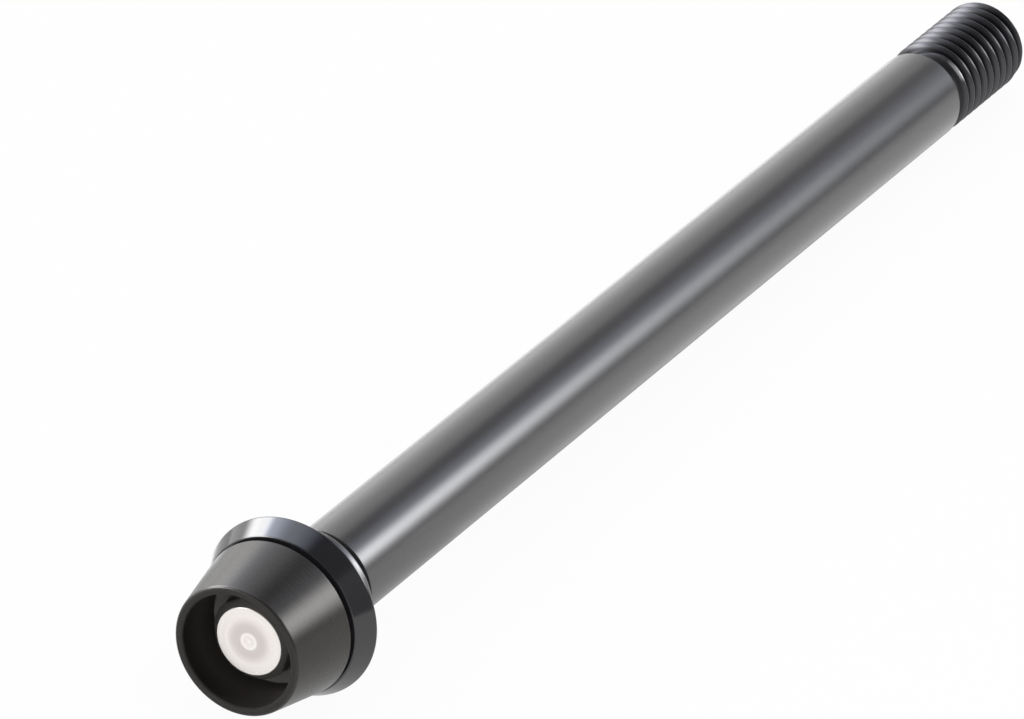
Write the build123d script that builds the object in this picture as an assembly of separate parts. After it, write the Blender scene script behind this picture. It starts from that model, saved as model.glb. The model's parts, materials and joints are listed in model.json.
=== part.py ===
from build123d import *
import os
from math import radians, tan

# Bicycle thru axle with a keyed head, in millimetres.
# +Y runs along the axle from the head to the thread, and +Z is up as it lies.
# The origin is on the axis where the bare shaft begins, just past the retaining ring's groove.

# Shaft: a plain ground length that passes through the hub, then a metric thread of 12 mm by 1.75 mm.
shaft_diameter = 11.9
bare_length = 149.7
thread_diameter = 11.9
thread_length = 17.1
thread_end_chamfer = 0.75
thread_start_angle = 60.0
thread_start_bevel = 0.35
relief_depth = 1.0
relief_width = 1.4

# Drilling from the thread end that saves weight, stopped short of the key post's stem.
weight_bore_diameter = 6.2
weight_bore_web = 6.3
drill_point_angle = 118.0

# Retaining ring of round rubber cord, and its groove in the shaft.
ring_cord_diameter = 1.25
ring_groove_depth = 0.5
ring_side_room = 0.05
ring_fit = 0.02

# Flange and spigot of the axle's head.
flange_overhang = 2.55
flange_thickness = 2.6
spigot_diameter = 8.8

# Seat washer: a flared band in front, and behind it a straight collar.
# A cone on the collar's end centres in the frame.
nose_tip_wall = 0.89
nose_length = 5.8
tip_land = 0.2
collar_wall = 2.4
seat_angle = 90.0
rim_edge = 0.2
band_width = 2.6
band_flare = 1.28
band_front_wall = 1.32
recess_depth = 2.15
washer_edge_radius = 0.12

# Guard: a tapered cup that turns on the spigot. Its base is a little smaller than the washer's front.
guard_length = 9.2
guard_bore_diameter = 14.5
guard_lip_width = 0.85
guard_base_step = 0.12
guard_floor_thickness = 1.94
guard_lip_radius = 0.3
guard_bore_chamfer = 0.12
guard_back_radius = 0.15

# Key post: a turned blank with a bevelled end, flats of uneven depth, and a stem pressed into the axle.
post_face_diameter = 8.56
post_bevel_width = 0.92
post_bevel_angle = 45.0
post_height = 4.28
post_collar_overlap = 1.14
post_collar_thickness = 0.6
stem_diameter = 5.0
stem_length = 12.0
stem_chamfer = 0.4
stem_end_room = 0.3
center_spot_diameter = 2.1
center_spot_depth = 0.05

# Each flat is turned this many degrees about the axis, and cuts this deep into the post's round side.
post_flats = ((20.0, 0.30), (95.0, 0.18), (165.0, 0.32), (240.0, 0.14), (310.0, 0.24))

# Clearances.
running_clearance = 0.06
recess_clearance = 0.3
washer_end_play = 0.05
guard_end_play = 0.15
press_clearance = 0.01

# Radii that neighbouring pieces share.
shaft_r = shaft_diameter / 2
flange_r = shaft_r + flange_overhang
spigot_r = spigot_diameter / 2
guard_hole_r = spigot_r + running_clearance
washer_hole_r = shaft_r + running_clearance
recess_r = flange_r + recess_clearance
band_front_r = recess_r + band_front_wall
ring_groove_r = shaft_r - ring_groove_depth

# Places along the axis, stacked from the bare shaft's start towards the mouth of the guard.
ring_groove_width = ring_cord_diameter + 2 * ring_side_room
nose_tip = -ring_groove_width - washer_end_play
nose_root = nose_tip - nose_length
rim_front = nose_root - rim_edge
washer_front = rim_front - band_width
recess_floor = washer_front + recess_depth
flange_back = recess_floor - washer_end_play
flange_front = flange_back - flange_thickness
guard_back = flange_front - guard_end_play
guard_floor = guard_back - guard_floor_thickness
guard_mouth = guard_back - guard_length
post_seat = guard_floor - guard_end_play
post_face = post_seat - post_height
stem_end = post_seat + stem_length

# Places along the axis from the bare shaft's end to the end of the axle.
relief_end = bare_length + relief_width
axle_end = relief_end + thread_length


def outline(points):
    """Closed face from (radius, place along the axis) points."""
    return make_face(Polyline(*points, close=True))


def rounded(face, corners):
    """Rounds the named corners of an outline, each given as its place and a radius."""
    for place, radius in corners:
        corner = face.vertices().sort_by_distance(place)[0]
        face = fillet(corner, radius)
    return face


def turned(face):
    """Solid of revolution of an outline about the axle's axis."""
    return revolve(face, axis=Axis.Y)


def cone_depth(diameter, angle):
    """Depth of a cone with this mouth and this included angle."""
    return diameter / 2 / tan(radians(angle / 2))


def axle_shaft():
    """The axle itself: spigot, flange, ring groove, bare shaft and threaded end, drilled from that end."""
    thread_r = thread_diameter / 2
    relief_r = thread_r - relief_depth
    bevel_r = thread_r - thread_start_bevel
    bevel_start = relief_end + (bevel_r - relief_r) / tan(radians(thread_start_angle))
    thread_start = bevel_start + thread_start_bevel
    stem_hole_r = stem_diameter / 2 + press_clearance
    stem_hole_end = stem_end + stem_end_room
    bore_r = weight_bore_diameter / 2
    bore_tip = stem_hole_end + weight_bore_web
    bore_start = bore_tip + cone_depth(weight_bore_diameter, drill_point_angle)
    section = outline(
        [
            (stem_hole_r, post_seat),
            (spigot_r, post_seat),
            (spigot_r, flange_front),
            (flange_r, flange_front),
            (flange_r, flange_back),
            (shaft_r, flange_back),
            (shaft_r, -ring_groove_width),
            (ring_groove_r, -ring_groove_width),
            (ring_groove_r, 0),
            (shaft_r, 0),
            (shaft_r, bare_length),
            (relief_r, bare_length),
            (relief_r, relief_end),
            (bevel_r, bevel_start),
            (thread_r, thread_start),
            (thread_r, axle_end - thread_end_chamfer),
            (thread_r - thread_end_chamfer, axle_end),
            (bore_r, axle_end),
            (bore_r, bore_start),
            (0, bore_tip),
            (0, stem_hole_end),
            (stem_hole_r, stem_hole_end),
        ]
    )
    return turned(section)


def guard_cup():
    """Tapered cup with a flat floor, open at its mouth and bored to turn on the spigot."""
    bore_r = guard_bore_diameter / 2
    lip_r = bore_r + guard_bore_chamfer
    mouth_r = lip_r + guard_lip_width
    base_r = band_front_r - guard_base_step
    section = outline(
        [
            (guard_hole_r, guard_back),
            (base_r, guard_back),
            (mouth_r, guard_mouth),
            (lip_r, guard_mouth),
            (bore_r, guard_mouth + guard_bore_chamfer),
            (bore_r, guard_floor),
            (guard_hole_r, guard_floor),
        ]
    )
    lip = ((mouth_r, guard_mouth), guard_lip_radius)
    back = ((base_r, guard_back), guard_back_radius)
    return turned(rounded(section, [lip, back]))


def seat_washer():
    """Flared ring: in front a recess for the axle's flange, behind a straight collar with a seating cone."""
    rim_r = band_front_r + band_flare
    nose_tip_r = washer_hole_r + nose_tip_wall
    collar_r = washer_hole_r + collar_wall
    cone_end = nose_tip - tip_land
    cone_start = cone_end - (collar_r - nose_tip_r) / tan(radians(seat_angle / 2))
    section = outline(
        [
            (washer_hole_r, nose_tip),
            (washer_hole_r, recess_floor),
            (recess_r, recess_floor),
            (recess_r, washer_front),
            (band_front_r, washer_front),
            (rim_r, rim_front),
            (rim_r, nose_root),
            (collar_r, nose_root),
            (collar_r, cone_start),
            (nose_tip_r, cone_end),
            (nose_tip_r, nose_tip),
        ]
    )
    front_edge = ((band_front_r, washer_front), washer_edge_radius)
    tip_edge = ((nose_tip_r, nose_tip), washer_edge_radius)
    return turned(rounded(section, [front_edge, tip_edge]))


def key_post():
    """Coded post: bevelled face, uneven flats, a collar that traps the guard, and the stem."""
    face_r = post_face_diameter / 2
    corner_r = face_r + post_bevel_width
    bevel_end = post_face + post_bevel_width / tan(radians(post_bevel_angle))
    collar_r = guard_hole_r + post_collar_overlap
    collar_top = post_seat - post_collar_thickness
    coded = turned(
        outline(
            [
                (0, collar_top),
                (corner_r, collar_top),
                (corner_r, bevel_end),
                (face_r, post_face),
                (0, post_face),
            ]
        )
    )
    beyond_flat = Box(
        2 * post_bevel_width,
        2 * post_height,
        2 * corner_r,
        align=(Align.MIN, Align.CENTER, Align.CENTER),
    )
    for angle, depth in post_flats:
        coded -= Rotation(0, angle, 0) * Pos(corner_r - depth, post_face, 0) * beyond_flat
    stem_r = stem_diameter / 2
    root = turned(
        outline(
            [
                (0, collar_top),
                (collar_r, collar_top),
                (collar_r, post_seat),
                (stem_r, post_seat),
                (stem_r, stem_end - stem_chamfer),
                (stem_r - stem_chamfer, stem_end),
                (0, stem_end),
            ]
        )
    )
    spot_r = center_spot_diameter / 2
    spot_floor = post_face + center_spot_depth
    center_spot = turned(
        outline(
            [
                (0, post_face),
                (spot_r, post_face),
                (spot_r - center_spot_depth, spot_floor),
                (0, spot_floor),
            ]
        )
    )
    return coded + root - center_spot


def retaining_ring():
    """Round rubber cord seated in the shaft's groove, behind the washer's nose."""
    cord_r = ring_cord_diameter / 2
    ring_r = ring_groove_r + ring_fit + cord_r
    cord = Pos(ring_r, -ring_groove_width / 2) * Circle(cord_r)
    return turned(cord)


def main():
    """Builds each piece and writes it to its own file."""
    os.makedirs("parts", exist_ok=True)
    pieces = {
        "axle_shaft": axle_shaft(),
        "guard_cup": guard_cup(),
        "seat_washer": seat_washer(),
        "key_post": key_post(),
        "retaining_ring": retaining_ring(),
    }
    for name, piece in pieces.items():
        export_step(piece, os.path.join("parts", name + ".step"))
        print(name, "volume", round(piece.volume, 1), "mm3")


if __name__ == "__main__":
    main()
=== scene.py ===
# %% [markdown]
# # A bicycle thru axle, dressed around its CAD model
#
# A thru axle is the long bolt that holds a bicycle's wheel in its frame. This one is a black shaft
# with a coarse thread at its far end. Its head has a flared washer that seats in the frame, a
# tapered guard that spins freely, and a silver post with uneven flats, as on a lock. The CAD model
# fixes every size and says what turns. This lesson adds what CAD leaves out: the helix of the
# thread, softened edges, the finishes, the light and the camera.

import json
import math

import bmesh
import bpy
from mathutils import Matrix, Vector


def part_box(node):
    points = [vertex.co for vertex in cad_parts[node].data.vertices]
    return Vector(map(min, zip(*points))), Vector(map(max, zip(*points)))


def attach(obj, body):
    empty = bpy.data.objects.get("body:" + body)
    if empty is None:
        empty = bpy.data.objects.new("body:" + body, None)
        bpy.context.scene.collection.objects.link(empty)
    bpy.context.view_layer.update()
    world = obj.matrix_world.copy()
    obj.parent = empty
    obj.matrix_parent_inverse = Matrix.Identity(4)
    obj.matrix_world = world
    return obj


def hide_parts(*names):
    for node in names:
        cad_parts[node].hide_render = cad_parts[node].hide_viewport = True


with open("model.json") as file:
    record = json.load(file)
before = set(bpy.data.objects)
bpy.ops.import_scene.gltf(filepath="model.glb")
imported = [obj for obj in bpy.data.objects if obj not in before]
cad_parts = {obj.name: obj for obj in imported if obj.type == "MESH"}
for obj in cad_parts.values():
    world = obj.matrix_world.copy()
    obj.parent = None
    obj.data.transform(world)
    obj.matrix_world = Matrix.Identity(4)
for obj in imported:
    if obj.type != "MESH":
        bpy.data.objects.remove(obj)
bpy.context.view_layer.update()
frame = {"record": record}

# %% [markdown]
# ## Sizes
#
# Every piece is turned about the axle's axis, which is the Y axis here. A place on it is therefore
# two numbers: a radius, and a distance along the axis. Both are kept in millimetres, as on a
# drawing. Each node's box in the frame gives its two ends, and the record's mounts give the shaft,
# so the pieces follow the CAD model if it changes.

# %% Read the main sizes from the frame
MM = 0.001


def reach(node):
    """Front end, back end and outer radius of a CAD node, in millimetres to two decimals."""
    low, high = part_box(node)
    return [round(value / MM, 2) for value in (low.y, high.y, high.x)]


mounts = {mount["name"]: mount["dims"] for mount in frame["record"]["mounts"]}
shaft_r = mounts["hub_shaft"]["r_mm"]
bare_length = mounts["hub_shaft"]["length_mm"]
post_seat, axle_end, flange_r = reach("axle_shaft")
guard_mouth, guard_back, guard_base_r = reach("guard_cup")
washer_front, nose_tip, rim_r = reach("seat_washer")
post_face, stem_end, collar_r = reach("key_post")
ring_front, ring_back, ring_outer_r = reach("retaining_ring")
print("shaft radius", shaft_r, "bare length", bare_length, "axle ends", post_seat, axle_end)

# %% [markdown]
# ## A lathe in a few lines
#
# A lathe turns an outline into a solid. Blender's Spin tool or Screw modifier could do that too,
# but the thread and the post's flats need circles that aren't round, so the mesh is built from rows
# of points here: one row for each point of the outline, and faces between neighbouring rows.
#
# A real edge is never perfectly sharp, and its thin line of light is what makes metal look solid.
# So each corner of an outline carries an ease: how far from the corner the rounding begins. The
# rounding is one Bezier bend: lines are divided at a share, and so is the line between those points.
# A Bevel modifier could round edges too, but by one width for the whole piece.

# %% Outline corners and rows of points
columns = 192
turns = [math.tau * column / columns for column in range(columns)]
ease_steps = 5


def eased(corners):
    """Outline points (radius, along) from corners (radius, along, ease), each rounded by its ease."""
    points = []
    for index, (radius, along, ease) in enumerate(corners):
        corner = Vector((radius, along))
        if ease == 0:
            points.append(corner)
            continue
        before = Vector(corners[index - 1][:2])
        after = Vector(corners[(index + 1) % len(corners)][:2])
        start = corner + (before - corner).normalized() * ease
        end = corner + (after - corner).normalized() * ease
        for step in range(ease_steps + 1):
            share = step / ease_steps
            points.append(start.lerp(corner, share).lerp(corner.lerp(end, share), share))
    return points


def place(radius, along, turn):
    """Point in metres at a radius, a place along the axis and a turn about it."""
    return Vector((radius * math.cos(turn), along, -radius * math.sin(turn))) * MM


def circle(point):
    """Row of points round the axis, or one point where the radius is nothing."""
    radius, along = point
    if radius == 0:
        return [place(0, along, 0)]
    return [place(radius, along, turn) for turn in turns]


print("columns round the axis:", columns)

# %% [markdown]
# Rows become a skin of four-sided faces. One row can also join, at the seam, a row further on: that
# is how a helix climbs by one pitch in each turn. Rows that lie on each other are welded, so a piece
# made of several strips closes into one watertight mesh. The Weighted Normal modifier then lets
# large faces decide the shading, which keeps flats flat right up to a rounded edge.

# %% Skin rows into a piece that stands for a CAD node
weld_distance = 1e-7
sharp_angle = math.radians(40)


def skin(strips):
    """Points and faces of strips; a strip is its rows and the number of rows that its seam climbs."""
    points = []
    faces = []
    for rows, climb in strips:
        starts = []
        for row in rows:
            starts.append(len(points))
            points.extend(row)

        def corner(row, column):
            """Index of a point, counted past the seam into the row that it climbs to."""
            if column == columns:
                column = 0
                row = min(row + climb, len(rows) - 1)
            return starts[row] + min(column, len(rows[row]) - 1)

        for row in range(len(rows) - 1):
            for column in range(columns):
                loop = [corner(row, column), corner(row, column + 1)]
                loop += [corner(row + 1, column + 1), corner(row + 1, column)]
                loop = list(dict.fromkeys(loop))
                if len(loop) > 2:
                    faces.append(loop)
    return points, faces


def make_piece(name, strips, node, body):
    """Watertight mesh piece in place of a CAD node, riding on its body."""
    mesh = bpy.data.meshes.new(name)
    points, faces = skin(strips)
    mesh.from_pydata(points, [], faces)
    welded = bmesh.new()
    welded.from_mesh(mesh)
    bmesh.ops.remove_doubles(welded, verts=welded.verts, dist=weld_distance)
    bmesh.ops.recalc_face_normals(welded, faces=welded.faces)
    open_edges = sum(not edge.is_manifold for edge in welded.edges)
    welded.to_mesh(mesh)
    welded.free()
    mesh.shade_smooth()
    mesh.set_sharp_from_angle(angle=sharp_angle)
    piece = bpy.data.objects.new(name, mesh)
    bpy.context.collection.objects.link(piece)
    shading = piece.modifiers.new("flat faces decide", "WEIGHTED_NORMAL")
    shading.keep_sharp = True
    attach(piece, body)
    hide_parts(node)
    print(name, "faces", len(mesh.polygons), "open edges", open_edges)
    return piece


def turned(corners):
    """Strip of a closed outline, whose last row meets its first."""
    points = eased(corners)
    return [circle(point) for point in points + points[:1]], 0


print("points within", weld_distance, "m are welded")

# %% [markdown]
# ## The thread
#
# The thread is metric, 12 mm across with a pitch of 1.75 mm, and right-handed. It is rolled, not
# cut, so its crests and roots are round: a cosine wave, as deep as the relief groove beside it, has
# flanks that lean about 30 degrees as they should. The first ridge grows out of the root over an
# eighth of a turn. The thread could be one profile swept by a Screw modifier, but then the two ends,
# where the helix dies into a bevel, would need boolean cuts. Here a function gives the radius
# anywhere on the threaded end, with both bevels in it, and the rows lean with the helix so that each
# crest is one clean line.

# %% Radius of the threaded end
thread_pitch = 1.75
thread_depth = 1.0
crest_shift = 0.2
relief_width = 1.4
start_lean = math.radians(60)
start_bevel = 0.35
end_chamfer = 0.75
run_in_gap = 0.04
run_in_length = 0.22

relief_end = bare_length + relief_width
relief_r = shaft_r - thread_depth
bevel_r = shaft_r - start_bevel
bevel_start = relief_end + (bevel_r - relief_r) / math.tan(start_lean)
end_r = shaft_r - end_chamfer
ridge_foot = bevel_start + run_in_gap


def thread_radius(turn, along):
    """Radius of the threaded end's surface, with the slope and the bevels at its start and its end."""
    climbed = (along + crest_shift) / thread_pitch - turn / math.tau
    crest_along = along + (round(climbed) - climbed) * thread_pitch
    run_in = min(max((crest_along - ridge_foot) / run_in_length, 0), 1)
    wave = (1 + math.cos(math.tau * climbed)) / 2
    helix = relief_r + thread_depth * wave * run_in
    start_slope = relief_r + (along - relief_end) * math.tan(start_lean)
    first_bevel = bevel_r + along - bevel_start
    last_bevel = end_r + axle_end - along
    return min(helix, start_slope, first_bevel, last_bevel)


print("thread root radius", relief_r, "from", relief_end, "to", axle_end)

# %% [markdown]
# The row that starts one pitch before the thread climbs out of the relief groove during one turn.
# Points before the thread's start or past its end are held there, and the weld removes what falls
# together.

# %% Rows that lean with the helix
steps_per_pitch = 32


def leaning_row(start):
    """Row that climbs one pitch in a turn, held between the thread's two ends."""
    row = []
    for turn in turns:
        along = min(max(start + thread_pitch * turn / math.tau, relief_end), axle_end)
        row.append(place(thread_radius(turn, along), along, turn))
    return row


thread_start = relief_end - thread_pitch
thread_row_count = math.ceil((axle_end - thread_start) / thread_pitch * steps_per_pitch) + 1
thread_rows = [
    leaning_row(thread_start + thread_pitch * index / steps_per_pitch)
    for index in range(thread_row_count)
]
print("thread rows", len(thread_rows))

# %% [markdown]
# ## The axle
#
# The axle itself is one bar: a spigot that carries the guard, a small flange inside the washer, a
# groove for the rubber ring, the bare shaft, the relief groove and the thread. It is drilled from
# the thread end to save weight. Cylinders joined by booleans could make it, but one outline gives
# every edge its own rounding. It runs from the end face through the drilling to the head, and back
# along the outside to the thread.

# %% Turn the axle
bore_r = 3.1
bore_web = 6.3
drill_point = math.radians(59)
stem_r = 2.5
stem_room = 0.3
press_clearance = 0.01
spigot_r = 4.4
flange_thickness = 2.6
guard_play = 0.15
groove_depth = 0.5
groove_room = 0.05

stem_hole_r = stem_r + press_clearance
stem_hole_end = stem_end + stem_room
bore_tip = stem_hole_end + bore_web
bore_start = bore_tip + bore_r / math.tan(drill_point)
flange_front = guard_back + guard_play
flange_back = flange_front + flange_thickness
groove_r = shaft_r - groove_depth
groove_front = ring_front - groove_room

axle_corners = [
    (end_r, axle_end, 0),
    (bore_r, axle_end, 0.25),
    (bore_r, bore_start, 0),
    (0, bore_tip, 0),
    (0, stem_hole_end, 0),
    (stem_hole_r, stem_hole_end, 0),
    (stem_hole_r, post_seat, 0.1),
    (spigot_r, post_seat, 0.15),
    (spigot_r, flange_front, 0.1),
    (flange_r, flange_front, 0.15),
    (flange_r, flange_back, 0.15),
    (shaft_r, flange_back, 0.1),
    (shaft_r, groove_front, 0.08),
    (groove_r, groove_front, 0.1),
    (groove_r, 0, 0.1),
    (shaft_r, 0, 0.08),
    (shaft_r, bare_length, 0.2),
    (relief_r, bare_length, 0.3),
    (relief_r, relief_end, 0),
]
end_row = [place(thread_radius(turn, axle_end), axle_end, turn) for turn in turns]
axle_rows = [end_row] + [circle(point) for point in eased(axle_corners)[1:]]
axle = make_piece(
    "threaded_axle",
    [(axle_rows, 0), (thread_rows, steps_per_pitch)],
    "axle_shaft",
    "axle",
)

# %% [markdown]
# ## The guard
#
# The guard is a short tapered cup round the post. It spins freely on the axle's spigot, so pliers
# on it turn nothing. A cone with a Bevel modifier could stand for it, but all its edges would then
# be alike. Turned from an outline, its mouth has a rounded outer edge and a small bevel inside.

# %% Turn the guard
running_clearance = 0.06
guard_bore_r = 7.25
guard_bevel = 0.12
guard_lip_width = 0.85
guard_floor_thickness = 1.94

guard_hole_r = spigot_r + running_clearance
guard_lip_r = guard_bore_r + guard_bevel
guard_mouth_r = guard_lip_r + guard_lip_width
guard_floor = guard_back - guard_floor_thickness

guard = make_piece(
    "turned_guard",
    [
        turned(
            [
                (guard_hole_r, guard_back, 0.1),
                (guard_base_r, guard_back, 0.2),
                (guard_mouth_r, guard_mouth, 0.38),
                (guard_lip_r, guard_mouth, 0.05),
                (guard_bore_r, guard_mouth + guard_bevel, 0.05),
                (guard_bore_r, guard_floor, 0.25),
                (guard_hole_r, guard_floor, 0.1),
            ]
        )
    ],
    "guard_cup",
    "guard",
)

# %% [markdown]
# ## The seat washer
#
# The washer's front is a polished band that flares towards its rim. Behind the rim is a straight
# collar, and a cone on its end, 90 degrees across, centres the axle in the frame. A recess in its
# front takes the axle's flange. With so many steps, an outline is quicker than cutting one solid
# out of another.

# %% Turn the seat washer
recess_r = 8.8
recess_depth = 2.15
band_front_r = 10.12
band_width = 2.6
rim_edge = 0.2
nose_tip_r = 6.9
tip_land = 0.2
washer_collar_r = 8.41
seat_lean = math.radians(45)

washer_hole_r = shaft_r + running_clearance
recess_floor = washer_front + recess_depth
rim_front = washer_front + band_width
nose_root = rim_front + rim_edge
cone_end = nose_tip - tip_land
cone_start = cone_end - (washer_collar_r - nose_tip_r) / math.tan(seat_lean)

washer = make_piece(
    "polished_washer",
    [
        turned(
            [
                (washer_hole_r, nose_tip, 0.1),
                (washer_hole_r, recess_floor, 0.1),
                (recess_r, recess_floor, 0.15),
                (recess_r, washer_front, 0.1),
                (band_front_r, washer_front, 0.14),
                (rim_r, rim_front, 0.08),
                (rim_r, nose_root, 0.08),
                (washer_collar_r, nose_root, 0.1),
                (washer_collar_r, cone_start, 0.12),
                (nose_tip_r, cone_end, 0.08),
                (nose_tip_r, nose_tip, 0.1),
            ]
        )
    ],
    "seat_washer",
    "washer",
)

# %% [markdown]
# ## The post's flats
#
# The post is the lock: five flats of uneven depth, cut round a bevelled blank, take one socket only.
# They could be boolean cuts, which leave long thin faces. Here they are a limit on the radius: a
# plane at some distance from the axis cuts every circle that reaches beyond it.

# %% Flats as a limit on the radius
post_corner_r = 5.2
flat_angles = (20, 95, 165, 240, 310)
flat_depths = (0.30, 0.18, 0.32, 0.14, 0.24)


def flat_limit(turn):
    """Distance from the axis to the nearest flat in this direction."""
    limit = post_corner_r
    for angle, flat_depth in zip(flat_angles, flat_depths):
        facing = math.cos(turn - math.radians(angle))
        if facing > 0:
            limit = min(limit, (post_corner_r - flat_depth) / facing)
    return limit


def keyed_circle(point):
    """Circle cut by the post's flats, unless it is the collar's, which is wider than the blank."""
    radius, along = point
    if radius == 0 or radius > post_corner_r:
        return circle(point)
    return [place(min(radius, flat_limit(turn)), along, turn) for turn in turns]


print("flats", len(flat_angles), "deepest", max(flat_depths), "mm")

# %% [markdown]
# ## The post
#
# The post's end face is turned, with a shallow dished spot in the middle. Its collar traps the
# guard, and its stem is pressed into the axle. The bevel round the face is divided into several
# rows, so that the flats cut it along clean curves.

# %% Turn the post
post_face_r = 4.28
post_bevel = 0.92
bevel_steps = 6
collar_thickness = 0.6
stem_chamfer = 0.4
spot_r = 1.05
spot_depth = 0.05
spot_steps = 6

collar_front = post_seat - collar_thickness
spot_corners = [
    (spot_r * step / spot_steps, post_face + spot_depth * (1 - (step / spot_steps) ** 2), 0)
    for step in range(spot_steps + 1)
]
bevel_corners = [
    (
        post_face_r + post_bevel * step / bevel_steps,
        post_face + post_bevel * step / bevel_steps,
        0,
    )
    for step in range(1, bevel_steps + 1)
]
post_corners = [
    *spot_corners,
    (post_face_r, post_face, 0.06),
    *bevel_corners,
    (post_corner_r, collar_front, 0),
    (collar_r, collar_front, 0.08),
    (collar_r, post_seat, 0.05),
    (stem_r, post_seat, 0.05),
    (stem_r, stem_end - stem_chamfer, 0),
    (stem_r - stem_chamfer, stem_end, 0),
    (0, stem_end, 0),
]
post = make_piece(
    "coded_post",
    [([keyed_circle(point) for point in eased(post_corners)], 0)],
    "key_post",
    "axle",
)

# %% [markdown]
# ## The retaining ring
#
# A thin ring of rubber cord sits in the shaft's groove, behind the washer, and keeps the washer from
# sliding off. Blender's torus would do, but the lathe takes the ring's size from its node's box. The
# outline is a plain circle.

# %% Turn the retaining ring
cord_steps = 28
cord_r = (ring_back - ring_front) / 2
cord_centre = Vector((ring_outer_r - cord_r, (ring_back + ring_front) / 2))
cord_points = []
for step in range(cord_steps + 1):
    cord_turn = math.tau * step / cord_steps
    cord_points.append(cord_centre + cord_r * Vector((math.cos(cord_turn), math.sin(cord_turn))))
ring = make_piece(
    "rubber_ring",
    [([circle(point) for point in cord_points], 0)],
    "retaining_ring",
    "axle",
)

# %% [markdown]
# ## Shader maths as Python
#
# A finish is a formula: how rough, how dark and how bumpy the metal is at each place. Blender writes
# such formulas as nodes. They could be placed and linked one by one, but a small class that wraps
# one socket reads better: a plus or a minus adds the Math node for it, and one method adds any other
# node.

# %% A signal is a shader socket that can be calculated with
def connect(socket, value):
    """Gives a socket a link or a plain value."""
    if isinstance(value, Signal):
        socket.id_data.links.new(value.socket, socket)
    else:
        socket.default_value = value


class Signal:
    """A shader socket whose arithmetic adds Math nodes."""

    def __init__(self, socket):
        self.socket = socket

    def node(self, kind, settings, inputs, output=0):
        """Adds a node of any kind: its settings first, then its inputs. Returns one of its outputs."""
        made = self.socket.id_data.nodes.new(kind)
        for name, value in settings.items():
            setattr(made, name, value)
        for name, value in inputs.items():
            connect(made.inputs[name], value)
        return Signal(made.outputs[output])

    def output(self, name):
        """Another output of this signal's own node."""
        return Signal(self.socket.node.outputs[name])

    def math(self, operation, *values):
        """Math node on these values."""
        return self.node("ShaderNodeMath", {"operation": operation}, dict(enumerate(values)))

    def __add__(self, other):
        return self.math("ADD", self, other)

    def __radd__(self, other):
        return self.math("ADD", other, self)

    def __sub__(self, other):
        return self.math("SUBTRACT", self, other)

    def __rsub__(self, other):
        return self.math("SUBTRACT", other, self)

    def __mul__(self, other):
        return self.math("MULTIPLY", self, other)

    def __rmul__(self, other):
        return self.math("MULTIPLY", other, self)

    def __truediv__(self, other):
        return self.math("DIVIDE", self, other)

    def __rtruediv__(self, other):
        return self.math("DIVIDE", other, self)

    def rise(self, low, high):
        """Smooth step from 0 at low to 1 at high."""
        ends = {"Value": self, "From Min": low, "From Max": high}
        return self.node("ShaderNodeMapRange", {"interpolation_type": "SMOOTHSTEP"}, ends)

    def stretch(self, start, full, last, end):
        """1 between full and last, fading to 0 at start and at end."""
        return self.rise(start, full) * (1 - self.rise(last, end))

    def blend(self, first, second):
        """Colour between two colours, by this signal."""
        return self.node("ShaderNodeMix", {"data_type": "RGBA"}, {0: self, 6: first, 7: second}, 2)


print("shader maths ready")

# %% [markdown]
# ## Where a point lies on a turned piece
#
# All finishes here come from turning, so they follow the axis: tool marks run round it. Each finish
# starts from the same few signals in millimetres: the place along the axis, the radius, and a vector
# for noise that is wound round the axis. Noise on that vector is long around the piece and fine
# along it, as turning and polishing marks are. A UV map could carry the marks too, but then every
# mesh would need one.

# %% Start a finish
least_radius = 0.001


class Finish:
    """A material and the signals of a turned surface."""

    def __init__(self, name):
        self.material = bpy.data.materials.new(name)
        self.material.use_nodes = True
        nodes = self.material.node_tree.nodes
        self.shader = nodes["Principled BSDF"]
        where = Signal(nodes.new("ShaderNodeTexCoord").outputs["Object"])
        in_mm = {0: where, "Scale": 1 / MM}
        self.point = where.node("ShaderNodeVectorMath", {"operation": "SCALE"}, in_mm)
        x = self.point.node("ShaderNodeSeparateXYZ", {}, {"Vector": self.point})
        z = x.output("Z")
        self.along = x.output("Y")
        self.radius = x.math("SQRT", x * x + z * z)
        self.across = x / (self.radius + least_radius)
        self.above = z / (self.radius + least_radius)

    def marks(self, variety, pitch, detail):
        """Noise from 0 to 1 that runs round the axis: its variety round, and its width in mm."""
        inputs = {
            "X": self.across * variety,
            "Y": (self.along + self.radius) / pitch,
            "Z": self.above * variety,
        }
        wound = self.along.node("ShaderNodeCombineXYZ", {}, inputs)
        noise = {"Vector": wound, "Scale": 1.0, "Detail": detail}
        return wound.node("ShaderNodeTexNoise", {}, noise)

    def clouds(self, size, detail):
        """Even noise from 0 to 1, with patches of this size in mm."""
        noise = {"Vector": self.point, "Scale": 1 / size, "Detail": detail}
        return self.point.node("ShaderNodeTexNoise", {}, noise)

    def bump(self, height, span):
        """Normal of a surface whose height signal spans this much in mm."""
        inputs = {"Height": height, "Distance": span * MM, "Strength": 1.0}
        return height.node("ShaderNodeBump", {}, inputs)

    def wear(self, piece, inputs):
        """Sets the shader's sockets and gives the material to a piece."""
        for name, value in inputs.items():
            connect(self.shader.inputs[name], value)
        piece.data.materials.append(self.material)
        print(self.material.name, "nodes", len(self.material.node_tree.nodes))


print("finishes start from the axis, in units of", MM, "m")

# %% [markdown]
# ## Satin black anodised shaft
#
# The shaft is ground round and then anodised black. The coat is a thin glassy layer over grain, so
# it is dark from the front, and reflects more at a glancing angle than bare plastic would. A Coat
# layer could give that too, but a high index of refraction does it with one number.

# %% Signals of the shaft's coat
thick_coat = (0.009, 0.009, 0.011, 1)
thin_coat = (0.014, 0.014, 0.016, 1)

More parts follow.
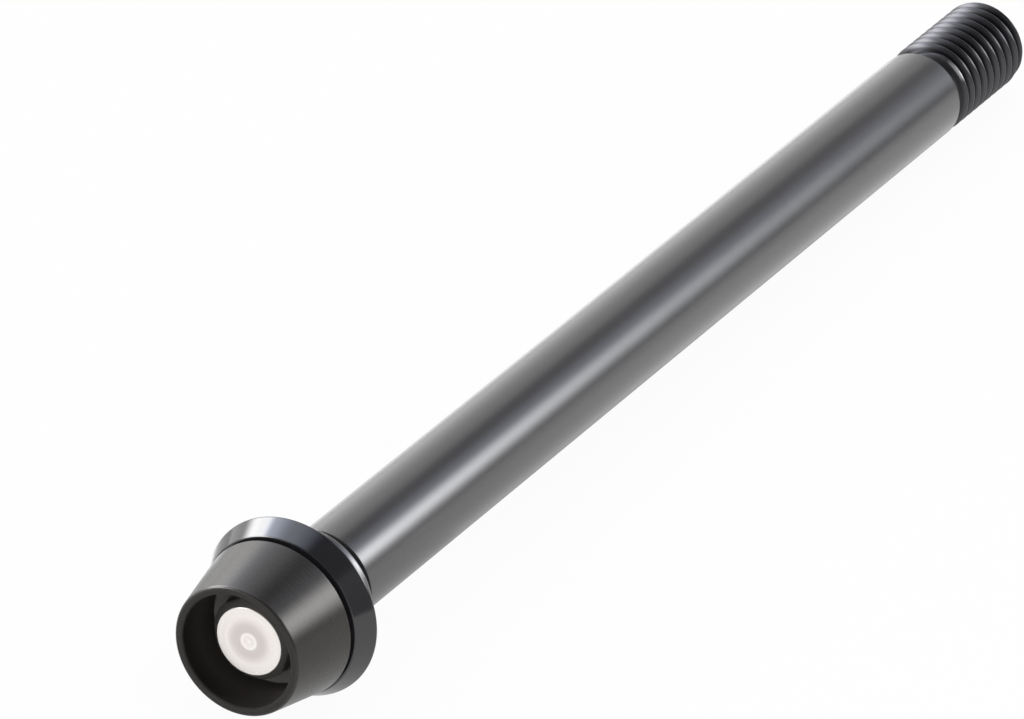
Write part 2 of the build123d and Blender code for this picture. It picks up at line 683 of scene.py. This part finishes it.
anodised = Finish("satin_black_anodised")
grinding = anodised.marks(variety=2.0, pitch=0.35, detail=3.0)
patches = anodised.clouds(size=14.0, detail=3.0)
black_coat = patches.blend(thick_coat, thin_coat)
print("coat colour from", thick_coat[:3], "to", thin_coat[:3])

# %% [markdown]
# On the thread, screwed in and out many times, the coat has worn to dull black metal, from the
# relief groove on. The groove is as rough as the tool left it. The colour also holds painted shade,
# darker in the groove and darker still in the thread's roots, and a painted glint, a much lighter
# first crest on one side. A second material could cover the thread, but a mask by the place along
# the axis keeps its edge soft.

# %% Finish the axle
# The two darker thread tones below are painted shade in the groove and the roots; the brightest is a
# painted glint on the first crest.
groove_painted_shade = (0.040, 0.040, 0.042, 1)
root_painted_shade = (0.019, 0.019, 0.021, 1)
crest_metal = (0.068, 0.068, 0.073, 1)
glint_painted_metal = (0.27, 0.27, 0.275, 1)
glint_turn = math.radians(42)
glint_spread = (0.95, 0.992)
first_crest_places = [bevel_start + step for step in (-0.1, 0, 0.5, 0.7)]
crest_edge = 0.1
root_height = 0.35
crest_drop = 0.2
groove_to_thread_fade = 0.6
coat_edge = 0.1
coat_satin = 0.20
grinding_share = 0.06
patch_share = 0.04
groove_roughening = 0.22
thread_smoothing = 0.18

worn = anodised.along.rise(bare_length - coat_edge, bare_length + coat_edge)
glint_side = anodised.across * math.cos(glint_turn) + anodised.above * math.sin(glint_turn)
on_crest = anodised.radius.rise(bevel_r, bevel_r + crest_edge)
first_crest = anodised.along.stretch(*first_crest_places) * on_crest
# Painted glint: much lighter metal on the first crest, on one side of the thread only.
painted_glint = first_crest * glint_side.rise(*glint_spread)
# Painted shade: darker metal in the relief groove, and darker still in the thread's roots, than on the
# crests.
crests = anodised.radius.rise(relief_r + root_height, shaft_r - crest_drop)
past_groove = anodised.along.rise(bevel_start, bevel_start + groove_to_thread_fade)
painted_shade_below_crests = past_groove.blend(groove_painted_shade, root_painted_shade)
thread_metal_with_painted_shade = crests.blend(painted_shade_below_crests, crest_metal)
thread_metal_with_painted_glint = painted_glint.blend(thread_metal_with_painted_shade, glint_painted_metal)
coat_roughness = coat_satin + grinding_share * grinding + patch_share * patches
wear_roughness = groove_roughening - thread_smoothing * past_groove
anodised.wear(
    axle,
    {
        "Base Color": worn.blend(black_coat, thread_metal_with_painted_glint),
        "Metallic": worn,
        "Roughness": coat_roughness + wear_roughness * worn,
        "IOR": 1.95,
        "Normal": anodised.bump(grinding, span=0.001),
    },
)

# %% [markdown]
# ## Satin turned guard
#
# The guard is steel with a brownish black oxide. Its cone was turned fine and rubbed satin, and its
# sheen is warm. The lip and the inside were left as they came from the tool, so they are rough and
# matte. Inside, the colour holds painted shade and light: the bore's wall is painted darkest near
# the lip and paler deeper in, and the cup's floor is painted paler still. Cone, lip and bore could
# be three materials, but masks in one material keep the edges between them soft.

# %% Finish the guard
stained_satin = (0.013, 0.012, 0.011, 1)
plain_satin = (0.020, 0.018, 0.017, 1)
lip_black = (0.022, 0.021, 0.020, 1)
# Painted shade near the lip, then painted light deeper in the bore and on the cup's floor:
painted_shade_mouth = (0.006, 0.005, 0.0045, 1)
painted_light_deep = (0.058, 0.049, 0.044, 1)
painted_light_floor = (0.25, 0.24, 0.23, 1)
warm_sheen = (1.0, 0.97, 0.92, 1)
cone_skin = (-0.35, -0.1)
lip_end = 0.1
bore_full = 0.5
floor_rise = (-0.3, -0.05)
bore_metal = 0.42
tool_roughness = 0.85
satin_smoothing = 0.61
turning_share = 0.06

oxide = Finish("satin_black_oxide")
turning = oxide.marks(variety=0.7, pitch=0.16, detail=2.0)
stain = oxide.clouds(size=5.0, detail=3.0)
cone_slope = (guard_base_r - guard_mouth_r) / (guard_back - guard_mouth)
cone_r = guard_mouth_r + cone_slope * (oxide.along - guard_mouth)
outside = (oxide.radius - cone_r).rise(*cone_skin)
# Mask of the cup's floor, whose colour is painted light: much paler than the walls.
floor_light_mask = (oxide.along - guard_floor).rise(*floor_rise) * (1 - outside)
inward = oxide.along.rise(guard_mouth, guard_floor)
bore = oxide.along.rise(guard_mouth + lip_end, guard_mouth + bore_full) * (1 - outside)
satin_black = stain.blend(stained_satin, plain_satin)
# Painted shade and light inside the cup: darkest near the lip, paler deeper in, palest on the floor.
painted_wall_tone = inward.blend(painted_shade_mouth, painted_light_deep)
lip_and_painted_wall = bore.blend(lip_black, painted_wall_tone)
guard_black_and_painted_light = outside.blend(lip_and_painted_wall, satin_black)
oxide.wear(
    guard,
    {
        "Base Color": floor_light_mask.blend(guard_black_and_painted_light, painted_light_floor),
        "Metallic": bore_metal * bore * (1 - inward),
        "Roughness": tool_roughness - satin_smoothing * outside + turning_share * turning,
        "IOR": 1.5,
        "Specular Tint": warm_sheen,
        "Normal": oxide.bump(turning, span=0.0004),
    },
)

# %% [markdown]
# ## Polished washer
#
# The washer's band is polished before it is blackened, so it mirrors the studio sharply. It could
# be a very dark metal, but a metal's colour is also the strength of its mirror. Here the body is
# black, and the index of refraction alone says how much it mirrors. The collar and the cone behind
# its rim have to grip the frame and stay satin, under a coat of oil.

# %% Finish the washer
deep_blue_black = (0.006, 0.006, 0.008, 1)
hazy_blue_black = (0.010, 0.010, 0.013, 1)
oil_edge = (-0.05, 0.15)
band_roughness = 0.10
haze_share = 0.06
collar_roughening = 0.16

polish = Finish("polished_blue_black")
rings = polish.marks(variety=1.0, pitch=0.15, detail=2.0)
haze = polish.clouds(size=4.0, detail=3.0)
behind_rim = (polish.along - nose_root).rise(*oil_edge)
polish.wear(
    washer,
    {
        "Base Color": haze.blend(deep_blue_black, hazy_blue_black),
        "Roughness": band_roughness + haze_share * haze + collar_roughening * behind_rim,
        "IOR": 1.7,
        "Coat Weight": behind_rim,
        "Coat Roughness": 0.25,
        "Coat IOR": 1.7,
        "Normal": polish.bump(rings, span=0.0004),
    },
)

# %% [markdown]
# ## Turned stainless post
#
# The post was blackened with the rest, and then its end was faced on a lathe, back to bright steel.
# The tool left rings, duller near the middle where it cut slowly, and the dished spot shines again.
# Rings in the mesh would need very fine rows, so the colour carries them. One mask, by the place
# along the axis, parts the bright end from the sides, where the oxide hides the metal.

# %% Tones of the faced end
ring_dark = (0.88, 0.825, 0.79, 1)
ring_bright = (1.0, 0.965, 0.93, 1)
slow_cut_tone = (0.72, 0.66, 0.63, 1)
spot_bright = (1.0, 0.96, 0.925, 1)
spot_dark = (0.93, 0.88, 0.845, 1)
slow_cut_radii = (0.95, 1.25, 1.8, 3.2)
spot_ring_radii = (0.15, 0.35, 0.6, 0.85)
spot_edge = (-0.05, 0.07)

stainless = Finish("turned_stainless")
facing = stainless.marks(variety=0.5, pitch=0.18, detail=2.0)
face_rings = stainless.marks(variety=0.6, pitch=0.5, detail=2.0)
slow_cut = stainless.radius.stretch(*slow_cut_radii)
face = slow_cut.blend(face_rings.blend(ring_dark, ring_bright), slow_cut_tone)
spot_ring = stainless.radius.stretch(*spot_ring_radii)
middle = 1 - (stainless.radius - spot_r).rise(*spot_edge)
steel = middle.blend(face, spot_ring.blend(spot_bright, spot_dark))
print("dull ring on the face from", slow_cut_radii[0], "to", slow_cut_radii[-1], "mm")

# %% [markdown]
# The mask starts just behind the face. The floor of the spot lies as deep as that, so the mask also
# leaves out everything near the axis.

# %% Finish the post
side_oxide = (0.090, 0.085, 0.080, 1)
oxide_rise = (0.02, 0.08)
oxide_radii = (1.4, 1.8)
faced_roughness = 0.20
facing_share = 0.10
oxide_roughening = 0.25

blackened = (stainless.along - post_face).rise(*oxide_rise) * stainless.radius.rise(*oxide_radii)
stainless.wear(
    post,
    {
        "Base Color": blackened.blend(steel, side_oxide),
        "Metallic": 1 - blackened,
        "Roughness": faced_roughness + facing_share * facing + oxide_roughening * blackened,
        "Normal": stainless.bump(facing, span=0.002),
    },
)

# %% [markdown]
# ## Rubber ring
#
# Moulded rubber is matte and very dark, with a little dust in its skin. So little of the ring shows
# that one fine noise is enough for both colour and bumps.

# %% Finish the ring
clean_rubber = (0.003, 0.003, 0.003, 1)
dusty_rubber = (0.007, 0.007, 0.007, 1)
rubber_roughness = 0.65
dust_share = 0.2

rubber = Finish("matte_rubber")
dust = rubber.clouds(size=0.5, detail=4.0)
rubber.wear(
    ring,
    {
        "Base Color": dust.blend(clean_rubber, dusty_rubber),
        "Roughness": rubber_roughness + dust_share * dust,
        "IOR": 1.2,
        "Normal": rubber.bump(dust, span=0.01),
    },
)

# %% [markdown]
# ## Floor
#
# The axle lies on white paper. It touches with the washer's rim and with the thread, so the paper
# leans a little against the axle's level axis. A curved backdrop would do as well, but a flat sheet
# that ends far outside the picture is simpler.

# %% Lay the floor
floor_half = 4.0
rim_place = Vector((0, (rim_front + nose_root) / 2, -rim_r)) * MM
thread_place = Vector((0, axle_end - end_chamfer, -shaft_r)) * MM
floor_lean = math.atan2(thread_place.z - rim_place.z, thread_place.y - rim_place.y)

floor_mesh = bpy.data.meshes.new("floor")
floor_corners = [(-1, -1, 0), (1, -1, 0), (1, 1, 0), (-1, 1, 0)]
floor_points = [Vector(corner) * floor_half for corner in floor_corners]
floor_mesh.from_pydata(floor_points, [], [(0, 1, 2, 3)])
floor = bpy.data.objects.new("floor", floor_mesh)
floor.location = rim_place
floor.rotation_euler = (floor_lean, 0, 0)
bpy.context.collection.objects.link(floor)
print("floor leans", round(math.degrees(floor_lean), 2), "degrees")

# %% [markdown]
# Lit paper would come out grey, and more light would wash out the black metal. So the paper glows
# white by itself where the camera looks at it, with a small share of lit paper, which leaves it a
# faint shadow. Metal that mirrors the paper sees more of the lit share, and so more of the shadow.

# %% White paper
floor_white = 0.95
mirrored_white = 0.58
lit_paper = (0.86, 0.86, 0.86, 1)

paper = bpy.data.materials.new("white_paper")
paper.use_nodes = True
paper_nodes = paper.node_tree.nodes
paper_nodes.remove(paper_nodes["Principled BSDF"])
ray = Signal(paper_nodes.new("ShaderNodeLightPath").outputs["Is Camera Ray"])
mirrored = ray.math("MAXIMUM", ray.output("Is Glossy Ray"), ray.output("Is Transmission Ray"))
seen = ray.math("MAXIMUM", ray * floor_white, mirrored * mirrored_white)
matte = ray.node("ShaderNodeBsdfDiffuse", {}, {"Color": lit_paper})
glow = ray.node("ShaderNodeEmission", {}, {"Color": (1, 1, 1, 1), "Strength": 1.0})
both = ray.node("ShaderNodeMixShader", {}, {0: seen, 1: matte, 2: glow})
connect(paper_nodes["Material Output"].inputs["Surface"], both)
floor_mesh.materials.append(paper)
print("paper glows", floor_white, "to the camera,", mirrored_white, "in reflections")

# %% [markdown]
# ## Studio light
#
# Black metal shows its surroundings more than its colour, so the light is built from what it
# mirrors. The room is plain white, which lights every surface evenly.

# %% World
world = bpy.data.worlds.new("studio")
world.use_nodes = True
background = world.node_tree.nodes["Background"]
background.inputs["Color"].default_value = (1, 1, 1, 1)
background.inputs["Strength"].default_value = 1.0
bpy.context.scene.world = world
print("world strength", background.inputs["Strength"].default_value)

# %% [markdown]
# Round the axle hang sheets of glowing cloth, bright and dark. Lamps could do that, but their hard
# edges would show in the polished band. The sheets are there to be mirrored only: the camera and
# the plain light pass through.

# %% Cloth that is only mirrored
def cloth_material(name):
    """Glowing material, its Emission node and the point's place on the cloth in metres."""
    material = bpy.data.materials.new(name)
    material.use_nodes = True
    material.cycles.emission_sampling = "NONE"
    nodes = material.node_tree.nodes
    nodes.remove(nodes["Principled BSDF"])
    where = Signal(nodes.new("ShaderNodeTexCoord").outputs["Object"])
    glowing = where.node("ShaderNodeEmission", {}, {"Strength": 1.0})
    connect(nodes["Material Output"].inputs["Surface"], glowing)
    return material, glowing.socket.node, where


def hang_cloth(name, first_edge, shift, material):
    """Sheet of cloth between an edge, given as points, and the same edge shifted."""
    edge = [Vector(point) for point in first_edge]
    far_edge = [point + Vector(shift) for point in edge]
    count = len(edge)
    faces = [(step, step + 1, count + step + 1, count + step) for step in range(count - 1)]
    mesh = bpy.data.meshes.new(name)
    mesh.from_pydata(edge + far_edge, [], faces)
    mesh.materials.append(material)
    sheet = bpy.data.objects.new(name, mesh)
    sheet.visible_camera = False
    sheet.visible_diffuse = False
    sheet.visible_shadow = False
    bpy.context.collection.objects.link(sheet)
    print(name, "faces", len(faces))


print("cloth ready")

# %% [markdown]
# The largest sheet is a half tube over the axle. A place on it is its swing round the axle, in
# degrees from the right-hand horizon over the top, and its place along the axle in metres. Each
# patch of light is a level times soft-edged stretches in these two directions. A painted picture
# could carry the patches too, but numbers are easier to move.

# %% Places on the half tube
lit_cloth, lit_glow, cloth_place = cloth_material("lit_cloth")
sideways = cloth_place.node("ShaderNodeSeparateXYZ", {}, {"Vector": cloth_place})
forward = sideways.output("Y")
swing = sideways.math("ARCTAN2", sideways.output("Z"), sideways) * math.degrees(1)
print("places on", lit_cloth.name, "are a swing in degrees and a distance in metres")

# %% [markdown]
# The tube's right half has one bright strip, which draws the light line along the shaft. The strip
# slants a little and gains towards the thread. It has a bluish halo above it and a pale foot below.

# %% Bright strip on the right half
strip_swings = (3, 24, 28, 48)
strip_reach = (-0.02, 0.12, 0.55, 0.80)
strip_slant = 11
strip_near = 6.8
strip_gain = 5.4
strip_gain_reach = (0.3, 0.6)
halo_level = 0.9
halo_swings = (12, 30, 58, 80)
halo_start = (0.1, 0.3)
halo_loss = 0.7
halo_fade = (0.70, 0.95)
low_halo_level = 0.2
low_halo_swings = (-12, 4, 24, 44)
low_halo_fade = (0.7, 0.9)
foot_level = 0.4
foot_swings = (4, 12, 16, 26)
foot_fade = (0.75, 0.95)

slanted = swing - strip_slant * forward
strip_level = strip_near + strip_gain * forward.rise(*strip_gain_reach)
strip = strip_level * slanted.stretch(*strip_swings) * forward.stretch(*strip_reach)
halo_along = forward.rise(*halo_start) * (1 - halo_loss * forward.rise(*halo_fade))
strip_halo = halo_level * swing.stretch(*halo_swings) * halo_along
low_halo = low_halo_level * swing.stretch(*low_halo_swings) * (1 - forward.rise(*low_halo_fade))
strip_foot = foot_level * swing.stretch(*foot_swings) * (1 - forward.rise(*foot_fade))
print("strip level from", strip_near, "to", strip_near + strip_gain)

# %% [markdown]
# The rest of the right half is dark, and grows a little paler towards the far end. The left half is
# pale, with a bright window. A patch of blue sky above the window gives the polished band its blue
# cast.

# %% Shade, wall, window and sky
shade_level = 0.15
shade_swings = (15, 45, 84, 104)
middle_gain = 0.13
middle_gain_reach = (0.3, 0.6)
far_gain = 0.2
far_gain_reach = (0.66, 0.82)
wall_level = 0.8
wall_top = (88, 108)
wall_foot = (110, 180)
window_level = 8.5
window_gain = 4
window_gain_fade = (-0.4, -0.2)
window_swings = (130, 140, 150, 163)
window_reach = (-0.7, -0.5, 0.12, 0.48)
low_sky_level = 4.0
low_sky_swings = (106, 130, 134, 142)
high_sky_level = 1.2
high_sky_swings = (78, 93, 104, 124)
sky_reach = (-0.18, -0.06, 0.12, 0.48)

middle_shade = middle_gain * forward.rise(*middle_gain_reach)
far_shade = middle_shade + far_gain * forward.rise(*far_gain_reach)
shade = shade_level + far_shade * swing.stretch(*shade_swings)
left_wall = wall_level * (swing.rise(*wall_top) + swing.rise(*wall_foot))
window_light = window_level + window_gain * (1 - forward.rise(*window_gain_fade))
window = window_light * swing.stretch(*window_swings) * forward.stretch(*window_reach)
low_sky = low_sky_level * swing.stretch(*low_sky_swings)
high_sky = high_sky_level * swing.stretch(*high_sky_swings)
sky = (low_sky + high_sky) * forward.stretch(*sky_reach)
print("shade level", shade_level, "window level from", window_level, "to", window_level + window_gain)

# %% [markdown]
# Light adds up, so the patches are summed and not mixed. The halo and the sky give less red and
# green than blue. The tube is one curved edge, shifted along the axle.

# %% Hang the half tube
blue_red_share = 0.72
blue_green_share = 0.79
tube_r = 0.6
tube_swings = (-8, 182)
tube_ends = (-0.9, 1.4)
tube_steps = 95

white_light = shade + low_halo + strip_foot + left_wall + strip + window
blue_light = strip_halo + sky
mixed = {
    "X": white_light + blue_red_share * blue_light,
    "Y": white_light + blue_green_share * blue_light,
    "Z": white_light + blue_light,
}
connect(lit_glow.inputs["Color"], cloth_place.node("ShaderNodeCombineXYZ", {}, mixed))

tube_edge = []
for step in range(tube_steps + 1):
    angle = math.radians(tube_swings[0] + (tube_swings[1] - tube_swings[0]) * step / tube_steps)
    tube_edge.append((tube_r * math.cos(angle), tube_ends[0], tube_r * math.sin(angle)))
hang_cloth("light_tube", tube_edge, (0, tube_ends[1] - tube_ends[0], 0), lit_cloth)

# %% [markdown]
# A dark curtain hangs in front of the head, and a small grey flag stands beside the washer. Without
# them, the polished metal there would mirror the white room. Dark patches on the tube couldn't do
# it, because the tube is open in front and far from the washer.

# %% Dark curtain and flag
curtain_grey = 0.22
curtain_foot = [(-0.2, -0.5, 0), (0.6, -0.5, 0)]
curtain_height = 0.6
flag_grey = 0.33
flag_foot = [(0.115, -0.15, -0.0105), (0.115, 0.01, -0.0105)]
flag_height = 0.1


def even_cloth(name, grey):
    """Cloth of one even grey."""
    material, glowing, _ = cloth_material(name)
    glowing.inputs["Color"].default_value = (grey, grey, grey, 1)
    return material


dark_cloth = even_cloth("dark_cloth", curtain_grey)
hang_cloth("curtain", curtain_foot, (0, 0, curtain_height), dark_cloth)
grey_cloth = even_cloth("grey_cloth", flag_grey)
hang_cloth("flag", flag_foot, (0, 0, flag_height), grey_cloth)

# %% [markdown]
# Two white cards run along the shaft, as in a studio for small products. One stands upright to the
# left, the other lies on the paper to the right, and the shaft's two long edges mirror them. Both
# are brighter beside the shaft than beside the head. Lamps would also throw light on the paper,
# which cards of this cloth don't.

# %% White cards beside the shaft
card_end = 0.45
card_gain_places = (0.02, 0.10)
left_card_tones = (1.6, 2.0)
left_card_x = -0.02
left_card_foot = -0.0115
left_card_height = 0.0145
floor_card_tones = (0.95, 1.16)
floor_card_x = 0.004
floor_card_width = 0.036
floor_card_start = 0.03
floor_card_gap = 0.0003


def card_material(name, near, far):
    """Cloth as bright as near beside the head, and as bright as far along the shaft."""
    material, glowing, where = cloth_material(name)
    card_along = where.node("ShaderNodeSeparateXYZ", {}, {"Vector": where}, "Y")
    connect(glowing.inputs["Color"], near + (far - near) * card_along.rise(*card_gain_places))
    return material


def above_floor(x, along):
    """Point just above the floor, in metres."""
    floor_z = rim_place.z + math.tan(floor_lean) * (along - rim_place.y)
    return (x, along, floor_z + floor_card_gap)


left_card = card_material("left_card", *left_card_tones)
left_edge = [(left_card_x, along, left_card_foot) for along in (0, card_end)]
hang_cloth("edge_card", left_edge, (0, 0, left_card_height), left_card)
right_card = card_material("right_card", *floor_card_tones)
right_edge = [above_floor(floor_card_x, along) for along in (floor_card_start, card_end)]
hang_cloth("floor_card", right_edge, (floor_card_width, 0, 0), right_card)

# %% [markdown]
# One small lamp stands to the right of the camera. It puts the glint on the bevel where the thread
# begins. Cloth could do it, but Blender aims rays at a lamp, so a small bright spot stays clean.

# %% Lamp
glint_size = 0.09
glint_radiance = 6.0
glint_place = Vector((0.357, -0.137, 0.198))
glint_target = Vector((0, 0.152, 0))

glint = bpy.data.lights.new("glint", "AREA")
glint.size = glint_size
glint.energy = glint_radiance * math.pi * glint_size ** 2
glint_box = bpy.data.objects.new("glint", glint)
glint_box.location = glint_place
glint_box.rotation_mode = "QUATERNION"
glint_box.rotation_quaternion = (glint_target - glint_place).to_track_quat("-Z", "Y")
glint_box.visible_camera = False
bpy.context.collection.objects.link(glint_box)
print("glint", round(glint.energy, 2), "watts")

# %% [markdown]
# ## Camera
#
# A long lens from the head's side, a little above. The camera could be aimed by eye at the whole
# axle. The mouth of the guard is the nearest circle and the easiest to line up, so the camera's
# place is given from the middle of that mouth, in millimetres.

# %% Camera
camera_azimuth = math.radians(29.74)
camera_elevation = math.radians(27.30)
mouth_right = -31.71
mouth_down = 33.60
mouth_depth = 1081.77
lens_mm = 331.2
sight_limit = 20

right = Vector((math.cos(camera_azimuth), math.sin(camera_azimuth), 0))
back = Vector(
    (
        math.sin(camera_azimuth) * math.cos(camera_elevation),
        -math.cos(camera_azimuth) * math.cos(camera_elevation),
        math.sin(camera_elevation),
    )
)
up = back.cross(right)
mouth = Vector((0, guard_mouth, 0))
camera_place = (mouth - mouth_right * right + mouth_down * up + mouth_depth * back) * MM
camera_axes = Matrix((right, up, back)).transposed().to_4x4()

camera = bpy.data.objects.new("camera", bpy.data.cameras.new("camera"))
camera.data.lens = lens_mm
camera.data.clip_end = sight_limit
camera.matrix_world = Matrix.Translation(camera_place) @ camera_axes
bpy.context.collection.objects.link(camera)
bpy.context.scene.camera = camera
bpy.context.scene.view_settings.view_transform = "Standard"
print("camera at", [round(value, 4) for value in camera_place])
